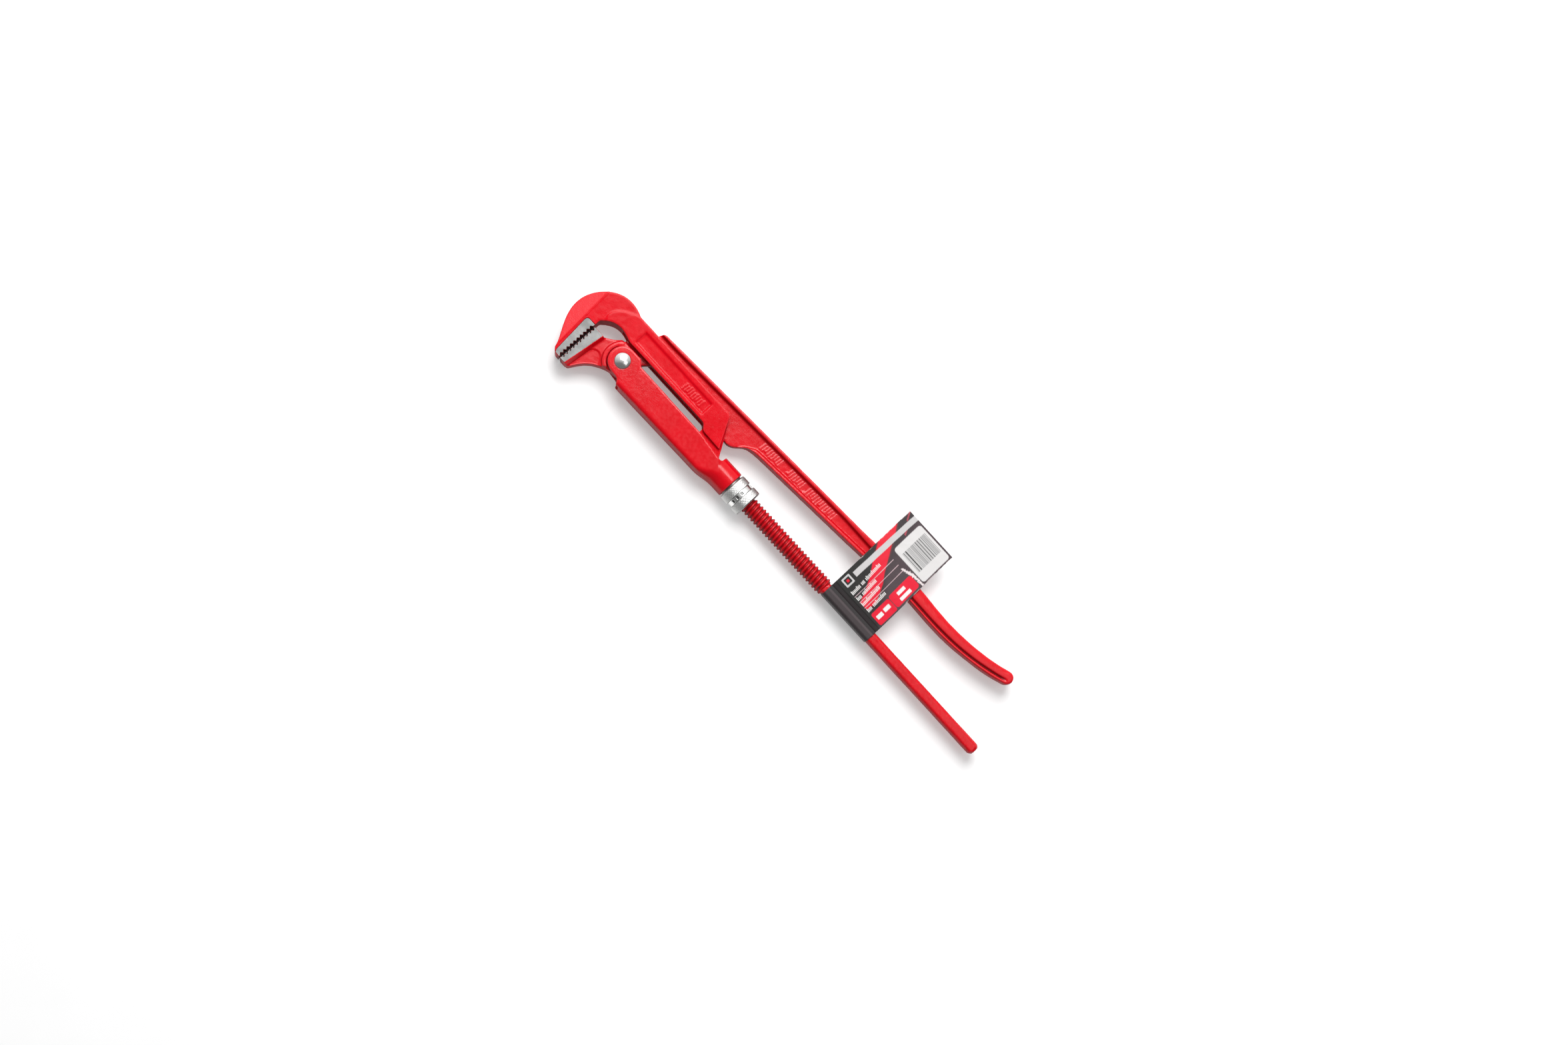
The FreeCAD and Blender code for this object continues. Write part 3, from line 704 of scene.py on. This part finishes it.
def make_thread():
    """Rolled right-hand thread with rounded crests, painted, with painted shade in its roots, a few painted
    glints on its crests, and one worn patch.
    """
    around = int(THREAD_SIDES / COARSE)
    rows = int((THREAD_HIGH_X - THREAD_LOW_X) / (THREAD_STEP * COARSE))
    x = np.linspace(THREAD_LOW_X, THREAD_HIGH_X, rows)[:, None]
    turn = np.linspace(0, 2 * math.pi, around, endpoint=False)[None, :]
    phase = (x - THREAD_LOW_X) / THREAD_PITCH - turn / (2 * math.pi)
    off_crest = np.abs(phase - np.round(phase)) * 2
    height = 1 - ramp(off_crest, *CREST_FADE)
    fade = ramp(x, THREAD_LOW_X - 0.2, THREAD_LOW_X + 2.0)
    radius = ROOT + (CREST - ROOT) * height * fade
    points = np.stack([x + 0 * turn, radius * np.sin(turn), -radius * np.cos(turn)], -1).reshape(-1, 3)
    faces = []
    for i in range(rows - 1):
        for j in range(around):
            k = (j + 1) % around
            faces.append((i * around + j, (i + 1) * around + j, (i + 1) * around + k, i * around + k))
    faces.append(tuple(range(around))[::-1])
    faces.append(tuple((rows - 1) * around + j for j in range(around)))
    piece = mesh_of("spindle_thread", points, faces)
    height = np.broadcast_to(height, (rows, around)).ravel()
    patch = np.linalg.norm((points - np.array(WORN_PLACE)) / np.array(WORN_SIZE), axis=1)
    worn = (1 - ramp(patch, 0.7, 1.1)) * ramp(height, 0.3, 0.7)
    # Painted shade in the thread's roots, and the worn patch darker.
    dark = np.clip(0.72 * (1 - ramp(height, 0.0, 0.70)) + worn, 0, 1)
    finish_forging(piece, worn, dark, 0.4 * height, 0.03 * lumps(points, 1.6, 2))
    return dress(piece, red_paint("thread_paint", gloss=0.30), "hook_lever", "red_hook", "hook_lever")


GRIP_X = -254.0
GRIP_STEP = 4
GRIP_HALF = 6.5
GRIP_HOLLOW_Z = (3.3, 6.45)
GROOVE_START_X = -252.0
GROOVE_END_X = -347.0
GROOVE_FADE = 6.0
GROOVE_DEPTH = 0.30
GROOVE_HALF = 0.85
GROOVE_LINE = [(-250.0, -39.4), (-261.5, -39.6), (-279.0, -39.2), (-298.0, -39.9), (-316.5, -42.3),
               (-335.0, -46.3), (-345.0, -49.4)]


def fill_grip(piece):
    """Levels the hollows in the grip's two faces, so that shape_grip can model them."""
    bm = bmesh.new()
    bm.from_mesh(piece.data)
    for limit in (GRIP_X + GRIP_STEP, GRIP_X):
        geometry = bm.verts[:] + bm.edges[:] + bm.faces[:]
        bmesh.ops.bisect_plane(bm, geom=geometry, plane_co=to_metres((limit, 0, 0)), plane_no=(1, 0, 0))
    for v in bm.verts:
        x, y, z = to_mm(v.co)
        if x < GRIP_X + 0.1 and GRIP_HOLLOW_Z[0] < abs(z) < GRIP_HOLLOW_Z[1]:
            v.co = to_metres((x, y, math.copysign(GRIP_HALF, z)))
    bm.to_mesh(piece.data)
    bm.free()


def groove_place(points):
    """Height above the grip's groove for each point, and 1 along the groove's length."""
    x, y = points[:, 0], points[:, 1]
    line = np.polyfit([p[0] for p in GROOVE_LINE], [p[1] for p in GROOVE_LINE], 4)
    above = y - np.polyval(line, np.clip(x, GROOVE_END_X + 1, GROOVE_START_X + 2))
    ends = ramp(GROOVE_START_X - x, 0, GROOVE_FADE) * ramp(x - GROOVE_END_X, 0, GROOVE_FADE)
    return above, ends


def shape_grip(piece):
    """Rounds the curved grip and runs a soft groove along it, under its upper edge."""
    points = to_mm(read(piece))
    relax(piece, 26, 0.5 * ramp(-points[:, 0], -GRIP_X, 6 - GRIP_X))
    points = to_mm(read(piece))
    above, here = groove_place(points)
    sink = GROOVE_DEPTH * np.exp(-(above / GROOVE_HALF) ** 2)
    sink += 0.22 * np.clip((-above - 2.5) / 7.0, 0, 1) ** 2 + 0.12 * np.clip((above - 0.8) / 2.5, 0, 1) ** 2
    points[:, 2] *= 1 - sink * here
    write(piece, to_metres(points))


def shank_y(x):
    """Line that the raised strokes on the curved handle's shank stand on."""
    return SHANK_Y + SHANK_SLOPE * (x - SHANK_X)


def make_jaw():
    """Lower jaw, boss, web and curved handle."""
    piece = cad_copy("jaw_forging", "jaw_lever")
    fill_grip(piece)
    remesh(piece, VOXEL)
    relax(piece, 3, 0.5 - TOOTH_HOLD * tooth_zone(to_mm(read(piece))))
    shape_grip(piece)
    sharpen(piece, "jaw_lever", ground_zone, 2)
    points = to_mm(read(piece))
    teeth = tooth_zone(points)
    normal = read(piece, "normal")
    high = np.abs(points[:, 2])
    facing = ramp(np.abs(normal[:, 2]), 0.75, 0.92)
    ground = inside(points, JAW_GROUND) + 0.12 * lumps(points, 1.2, 2)
    bare = ramp(ground, -0.1, 0.8) * facing * ramp(high, *JAW_GROUND_Z)
    dark = teeth * (1 - facing) * (points[:, 0] > 20)
    painted = 1 - bare
    above, here = groove_place(points)
    # Painted shade along the grip's groove, carried in the mask dark.
    groove = np.exp(-(above / 0.6) ** 2) * here
    marks = []
    for start, count in SHANK_MARKS:
        places = [start + SHANK_MARK_STEP * i for i in range(count)]
        marks += bar_marks(places, lambda x: shank_y(x) + SHANK_MARK_Y[0],
                           lambda x: shank_y(x) + SHANK_MARK_Y[1], 0.5)
    bump = 0.04 * lumps(points, 4.0, 2) * painted + 0.06 * lumps(points, 10.0, 1, 5.0) * painted
    flank = ramp(high, 4.2, 4.6) * ramp(-high, -5.7, -5.3) * facing
    bump -= POCKET_DEPTH * ramp(inside(points, JAW_POCKET), 0.0, 0.7) * flank
    bump += 0.24 * strokes(points, marks) * facing * ramp(high, 3.1, 3.3) * ramp(-high, -4.4, -4.1)
    bump = (bump - 0.04 * painted) * (1 - teeth)
    finish_forging(piece, bare, np.maximum(dark, 0.7 * groove), 0.6 * painted * (1 - teeth), bump)
    return dress(piece, red_paint("jaw_paint", gloss=0.17), "jaw_lever", "red_jaw", "jaw_lever")


def make_sleeve():
    """Pressed sleeve: glossy behind, grainier and with more painted glints towards the ears."""
    piece = cad_copy("sleeve_shell", "sleeve")
    remesh(piece, VOXEL)
    relax(piece, 3)
    points = to_mm(read(piece))
    grainy = ramp(points[:, 0], *SLEEVE_GRAIN_X)
    bump = 0.03 * lumps(points, 4.0, 2) * (0.15 + grainy) + 0.05 * lumps(points, 16.0, 1, 4.0)
    none = np.zeros(len(points))
    finish_forging(piece, none, none, 0.08 + 0.45 * grainy, bump)
    return dress(piece, red_paint("sleeve_paint", gloss=0.14), "sleeve", "red_sleeve", "sleeve")


# Nut, ring, collar and rivet

KNURLS_AROUND = 64
KNURL_PITCH = 1.07
KNURL_DEPTH = 0.2
NUT_GROOVE = (6.3, 10.5)
NUT_GROOVE_RADIUS = 9.4
NUT_CHAMFER = 0.8
NUT_SEAT_RADIUS = 8.7
NUT_SEAT_DEPTH = 10.9
NUT_PLAY = 0.12
RING_VOXEL = 0.16
RING_SHADE = (9.7, 10.0)
RIVET_VOXEL = 0.2
RIVET_SHADE = (5.2, 5.8)


def make_nut():
    """Two knurled bands with a groove for the spring ring between them."""
    low, high = node_range("adjusting_nut", 0)
    radius = node_range("adjusting_nut", 1)[1]
    groove_low = low + NUT_GROOVE[0]
    groove_high = low + NUT_GROOVE[1]
    rim = radius - NUT_CHAMFER
    seat = high - NUT_SEAT_DEPTH
    bore = CREST + NUT_PLAY
    corners = [(high, NUT_SEAT_RADIUS), (high, rim), (high - NUT_CHAMFER, radius), (groove_high, radius),
               (groove_high, NUT_GROOVE_RADIUS), (groove_low, NUT_GROOVE_RADIUS), (groove_low, radius),
               (low + NUT_CHAMFER, radius), (low, rim), (low, bore), (seat, bore), (seat, NUT_SEAT_RADIUS)]
    profile = outline_points(corners, 0.15)

    def knurl(x, turn):
        """Diamond pattern cut by two crossing sets of grooves."""
        spin = turn * KNURLS_AROUND / (2 * math.pi)
        along = x / KNURL_PITCH
        ridge_a = np.abs((spin + along) % 1 - 0.5) * 2
        ridge_b = np.abs((spin - along) % 1 - 0.5) * 2
        cut = 1 - np.minimum(1.6 * np.minimum(1 - ridge_a, 1 - ridge_b), 1)
        base = np.array([p[1] for p in profile])[:, None]
        outer = ramp(base, radius - 0.25, radius - 0.05)
        return -KNURL_DEPTH * cut * outer

    piece = lathe("nut_body", profile, int(512 / COARSE), knurl)
    points = to_mm(read(piece))
    distance = np.hypot(points[:, 1], points[:, 2])
    # Painted shade in the knurl's grooves, and deeper painted shade on the groove's floor and in the bore.
    dark = 0.55 * (1 - ramp(distance, radius - KNURL_DEPTH, radius - 0.02))
    dark = np.where(distance < 10.0, 0.75, dark)
    attribute(piece, "dark", dark)
    material = steel("nut_steel", (0.60, 0.60, 0.59), (0.88, 0.88, 0.86), 0.34, 1.2)
    return dress(piece, material, "adjusting_nut", "satin_steel", "adjusting_nut")


def make_ring():
    """Split spring band that lies in the nut's groove, with painted shade on its inner side."""
    piece = cad_copy("nut_spring_ring", "nut_ring")
    remesh(piece, RING_VOXEL)
    relax(piece, 3)
    points = to_mm(read(piece))
    distance = np.hypot(points[:, 1], points[:, 2])
    attribute(piece, "dark", 1 - ramp(distance, *RING_SHADE))
    material = steel("ring_steel", (0.74, 0.74, 0.73), (0.92, 0.92, 0.90), 0.26, 0.8)
    return dress(piece, material, "adjusting_nut", "bright_steel", "nut_ring")


def make_collar():
    """The collar keeps its CAD shape; only its finish is made here."""
    node = frame["nodes"]["sleeve_collar"]
    node.data.materials.clear()
    node.data.materials.append(steel("collar_steel", (0.17, 0.17, 0.16), (0.24, 0.24, 0.235), 0.4, 0.8))


def make_rivet():
    """Domed rivet with a slightly uneven head."""
    piece = cad_copy("rivet_body", "pivot_rivet")
    remesh(piece, RIVET_VOXEL)
    relax(piece, 12)
    points = to_mm(read(piece))
    displace(piece, 0.035 * lumps(points, 2.4, 2))
    centre = np.hypot(points[:, 0], points[:, 1] - PIVOT_Y)
    # Painted shade towards the rim of the dome.
    attribute(piece, "dark", 0.5 * ramp(centre, *RIVET_SHADE))
    material = steel("rivet_steel", (0.66, 0.66, 0.65), (0.90, 0.90, 0.88), 0.22, 0.7)
    return dress(piece, material, "sleeve", "bright_steel", "pivot_rivet")


# Sales tag

TAG_GRID = 0.3
CHARCOAL = (0.030, 0.024, 0.026)
TAG_PLUM = (0.058, 0.038, 0.044)
TAG_BLACK = (0.010, 0.011, 0.010)
TAG_RED = (0.60, 0.000, 0.020)
TAG_ROSE = (0.30, 0.045, 0.065)
TAG_GREY = (0.46, 0.45, 0.45)
TAG_WHITE = (0.66, 0.64, 0.63)
TAG_WORN = (0.62, 0.50, 0.50)
TAG_PANEL = (0.56, 0.545, 0.54)
TAG_CRACK = (0.70, 0.62, 0.62)
TAG_LINE = (0.50, 0.36, 0.38)
TAG_BAND_PALE = (0.62, 0.02, 0.03)
TAG_THICKNESS = 0.4
TAG_FOLD_RADIUS = 1.8
TAG_FOLD_GRID = 0.9
TAG_PANEL_SINK = 0.25
TAG_SKEW = 1.9
TAG_LEFT_LINES = (17.3, 22.4, 27.6)
RED_BAND = [(15.5, 10.6), (22.6, 10.6), (26.0, 18.6), (31.7, 29.0), (37.0, 36.1), (41.4, 43.6), (46.0, 50.5),
            (46.0, 69.0), (40.7, 62.0), (36.8, 54.9), (31.9, 47.4), (26.2, 37.9), (20.9, 30.9), (14.8, 19.1)]
# Painted highlights and painted shade on the fold across the straight handle: place along Y, and how light it
# is
FOLD_Y = (-7.6, -7.0, -5.6, -5.2, -4.8, -2.4, -1.8, -0.9, -0.2, 3.8, 4.3, 4.6, 5.4)
FOLD_LIGHT_AND_SHADE = (0.022, 0.010, 0.014, 0.035, 0.008, 0.010, 0.060, 0.064, 0.036, 0.036, 0.070, 0.018, 0.014)
FOLD_TINT = (1.0, 0.76, 0.82)
FOLD_END_Y = -7.6
# Rows of strokes: left edge, lengths of the groups, and how the row leans
WORD_ROWS = ((29.6, (9.4, 4.0, 15.0), 0.055), (24.1, (5.2, 14.5), 0.06), (19.0, (18.0,), 0.07),
             (13.4, (5.2, 12.6), 0.05))
WORD_TOP = 10.4
WORD_GAP = 1.3
STROKE_STEP = 1.05
STROKE_WIDE = 0.62
STROKE_LOW = 2.2
STROKE_TALL = 2.9
WHITE_BARS = ((5.0, 8.0, 12.0, 17.4), (5.4, 8.4, 19.0, 24.6), (7.4, 9.9, 33.8, 41.0), (3.0, 5.5, 32.8, 43.0))
STRIPES = 24
STRIPE_TOP = 55.4
STRIPE_THICK = (0.35, 0.6, 0.35, 0.9, 0.35, 0.45, 0.75)
STRIPE_TONES = (0.30, 0.10, 0.26, 0.02, 0.22, 0.12)
STRIPE_GAPS = (0.35, 0.5, 0.35)
CRACK_U = (0.0, 4.0, 11.0, 15.6, 20.5)
CRACK_V = (51.6, 51.4, 50.8, 49.3, 47.6)


def box_distance(x, y, low_x, high_x, low_y, high_y, corner=0.0):
    """Distance outside a rounded box, negative inside."""
    away_x = np.abs(x - (low_x + high_x) / 2) - (high_x - low_x) / 2 + corner
    away_y = np.abs(y - (low_y + high_y) / 2) - (high_y - low_y) / 2 + corner
    outside = np.hypot(np.maximum(away_x, 0), np.maximum(away_y, 0))
    return outside + np.minimum(np.maximum(away_x, away_y), 0) - corner


class Print:
    """Colours laid over one another on the card, at places u and v in millimetres."""

    def __init__(self, u, v, ground):
        self.u = u
        self.v = v
        self.places = np.stack([u, v, 0 * u], -1)
        self.colour = np.empty((len(u), 3))
        self.colour[:] = ground

    def lay(self, distance, tone, soft=0.13, weight=1.0):
        """Covers every place whose distance is below 0."""
        share = (1 - ramp(distance, -soft, soft))[:, None] * np.reshape(weight, (-1, 1))
        self.colour = self.colour * (1 - share) + np.array(tone) * share

    def box(self, low_u, high_u, low_v, high_v, tone, corner=0.0, lean=0.0):
        """Rounded box that may lean."""
        slide = lean * (self.v - low_v)
        self.lay(box_distance(self.u - slide, self.v, low_u, high_u, low_v, high_v, corner), tone)

    def words(self, low_u, low_v, lengths, lean):
        """A row of plain short strokes in groups, where the card has a line of print."""
        at = low_v
        for k, length in enumerate(lengths):
            for i in range(int(length / STROKE_STEP)):
                tall = STROKE_TALL if (3 * i + k) % 5 == 0 else STROKE_LOW
                foot = low_u + lean * (at - low_v)
                self.box(foot, foot + tall, at, at + STROKE_WIDE, TAG_WHITE)
                at += STROKE_STEP
            at += WORD_GAP


def print_ground(ink):
    """Plum on the left and low down, nearly black at the upper right, and a wide red band."""
    ink.lay(ink.u - 27 - 0.25 * (ink.v - 40), TAG_PLUM, 6.0, 0.8)
    ink.lay(28 - ink.u + 0.9 * (ink.v - 40), TAG_BLACK, 5.0, 0.9)
    band = inside(ink.places, RED_BAND)
    ink.lay(-band, TAG_RED, 0.5)
    ink.lay(-band, TAG_BAND_PALE, 2.0, 0.35 * ramp(ink.v, 30, 60))


def print_lines(ink):
    """Slashes, thin lines, rows of strokes and a grey stripe."""
    ink.box(34.0, 35.6, 66.0, 70.0, TAG_ROSE, 0.0, 0.6)
    ink.box(40.6, 41.8, 74.0, 80.0, TAG_ROSE, 0.0, 0.6)
    for low_u in TAG_LEFT_LINES:
        ink.box(low_u, low_u + 0.42, 10.1, 48.3, TAG_LINE, 0.0, 0.008)
    for low_u, lengths, lean in WORD_ROWS:
        ink.words(low_u, WORD_TOP, lengths, lean)
    ink.box(37.4, 41.6, 21.0, 84.0, TAG_GREY, 0.0, -0.020)


def print_squares(ink):
    """Plain squares inside one another at the head of the grey stripe."""
    ink.box(36.0, 43.0, 11.0, 18.2, TAG_GREY, 0.6)
    ink.box(37.2, 41.8, 12.2, 17.0, TAG_BLACK, 0.3)
    ink.box(38.5, 40.5, 13.6, 15.6, TAG_RED, 0.1)


def print_red_boxes(ink):
    """Two red boxes with plain white bars."""
    ink.box(1.0, 11.4, 10.1, 27.0, TAG_RED, 1.5)
    ink.box(1.5, 12.0, 27.4, 49.6, TAG_RED, 2.0, 0.01)
    for bar in WHITE_BARS:
        ink.box(*bar, TAG_WHITE, 0.3)


def print_panel(ink):
    """Pale panel with a block of stripes."""
    ink.box(1.2, 33.0, 53.0, 79.0, TAG_PANEL, 2.3)
    at = STRIPE_TOP
    for i in range(STRIPES):
        thick = STRIPE_THICK[i % len(STRIPE_THICK)]
        tone = STRIPE_TONES[i % len(STRIPE_TONES)]
        ink.box(8.7, 26.4, at, at + thick, (tone, tone, tone))
        at += thick + STRIPE_GAPS[i % len(STRIPE_GAPS)]


def print_crack(ink):
    """White scuff where the print has cracked."""
    ragged = 0.9 * lumps(ink.places, 1.3, 2)
    wide = np.interp(ink.u, (0, 12, 19, 21), (0.6, 1.1, 0.6, -1.0))
    ink.lay(np.abs(ink.v - np.interp(ink.u, CRACK_U, CRACK_V) + ragged) - wide, TAG_CRACK, 0.35, 0.9)


def tag_print(u, v):
    """Colour of the tag's front, u from its left edge and v down from the spindle's axis, in millimetres."""
    ink = Print(u, v, CHARCOAL)
    for layer in (print_ground, print_lines, print_squares, print_red_boxes, print_panel, print_crack):
        layer(ink)
    return ink.colour


def tag_colour(u, points, width, front):
    """Print on the front, painted highlights and painted shade on the fold round the straight handle, dark
    card behind, and pale worn edges.
    """
    y = points[:, 1]
    fold = np.interp(y, FOLD_Y, FOLD_LIGHT_AND_SHADE)[:, None] * np.array([FOLD_TINT])
    colour = np.where((front & (y > FOLD_END_Y))[:, None], fold, tag_print(u, -y))
    colour[~front] = CHARCOAL
    worn = 1 - ramp(np.minimum(u, width - u), 0.1, 0.45)
    worn = np.clip(worn * ramp(lumps(points, 3.0, 2, 2.0), -0.3, 0.3), 0, 0.9) * ramp(-y, 30.0, 34.0)
    return colour * (1 - worn[:, None]) + np.array(TAG_WORN) * worn[:, None]


def tag_path(top, side, panel_z, low_y):
    """Points (Y, Z) round the handle and down the front, and how many of them come before the front."""
    bend = TAG_FOLD_RADIUS
    behind = [(-3.4, top - 0.6), (-side, top - bend), (-side, bend - top), (bend - side, -top),
              (side - bend, -top), (side, bend - top), (side, top - bend)]
    ahead = [(side - bend, top), (-2.6, top + 0.05), (-4.6, top - 0.35), (-5.3, top + 0.1),
             (FOLD_END_Y, top + 0.25), (-8.2, top + 0.5), (-30.0, panel_z), (-50.0, panel_z),
             (low_y + 0.2, panel_z)]
    path = []
    for start, end in zip(behind, behind[1:] + ahead[:1]):
        path += between(start, end, TAG_FOLD_GRID)
    before = len(path)
    for start, end in zip(ahead[:-1], ahead[1:]):
        path += between(start, end, TAG_GRID)
    path = np.array(path + ahead[-1:])
    for _ in range(2):
        path[1:-1] = (path[:-2] + 2 * path[1:-1] + path[2:]) / 4
    return path, before


def make_tag():
    """Card folded round the straight handle, with its front panel hanging in front of the curved handle."""
    low_x, high_x = node_range("sales_tag", 0)
    low_y, high_y = node_range("sales_tag", 1)
    low_z, high_z = node_range("sales_tag", 2)
    width = high_x - low_x
    half = TAG_THICKNESS / 2
    path, before = tag_path(-low_z - half, high_y - half, high_z - TAG_PANEL_SINK, low_y)
    columns = int(width / (TAG_GRID * COARSE)) + 1
    u = np.tile(np.linspace(0, width, columns), len(path))
    y = np.repeat(path[:, 0], columns)
    z = np.repeat(path[:, 1], columns)
    x = low_x + u + TAG_SKEW * ramp(-y, 6.0, 80.0) * (1 - 0.5 * u / width)
    points = np.stack([x, y, z], -1)
    front = np.repeat(np.arange(len(path)) >= before, columns)
    wave = 0.12 * lumps(points * np.array([1, 1, 0]), 18.0, 2)
    dent = 0.06 * lumps(points * np.array([1, 1, 0]), 5.0, 2, 4.0) * ramp(-y, 4.0, 9.0)
    points[:, 2] -= np.where(front, np.abs(wave + dent) * ramp(-y, 5.0, 9.0), 0)
    starts = [i * columns + j for i in range(len(path) - 1) for j in range(columns - 1)]
    piece = mesh_of("folded_tag", points, [(a, a + 1, a + columns + 1, a + columns) for a in starts])
    attribute(piece, "print", tag_colour(u, points, width, front))
    solid = piece.modifiers.new("card", "SOLIDIFY")
    solid.thickness = TAG_THICKNESS * MM
    solid.offset = 0
    return dress(piece, card(), "hook_lever", "printed_card", "sales_tag")


make_stage()
make_hook()
make_bar()
make_thread()
make_jaw()
make_sleeve()
make_nut()
make_ring()
make_collar()
make_rivet()
make_tag()
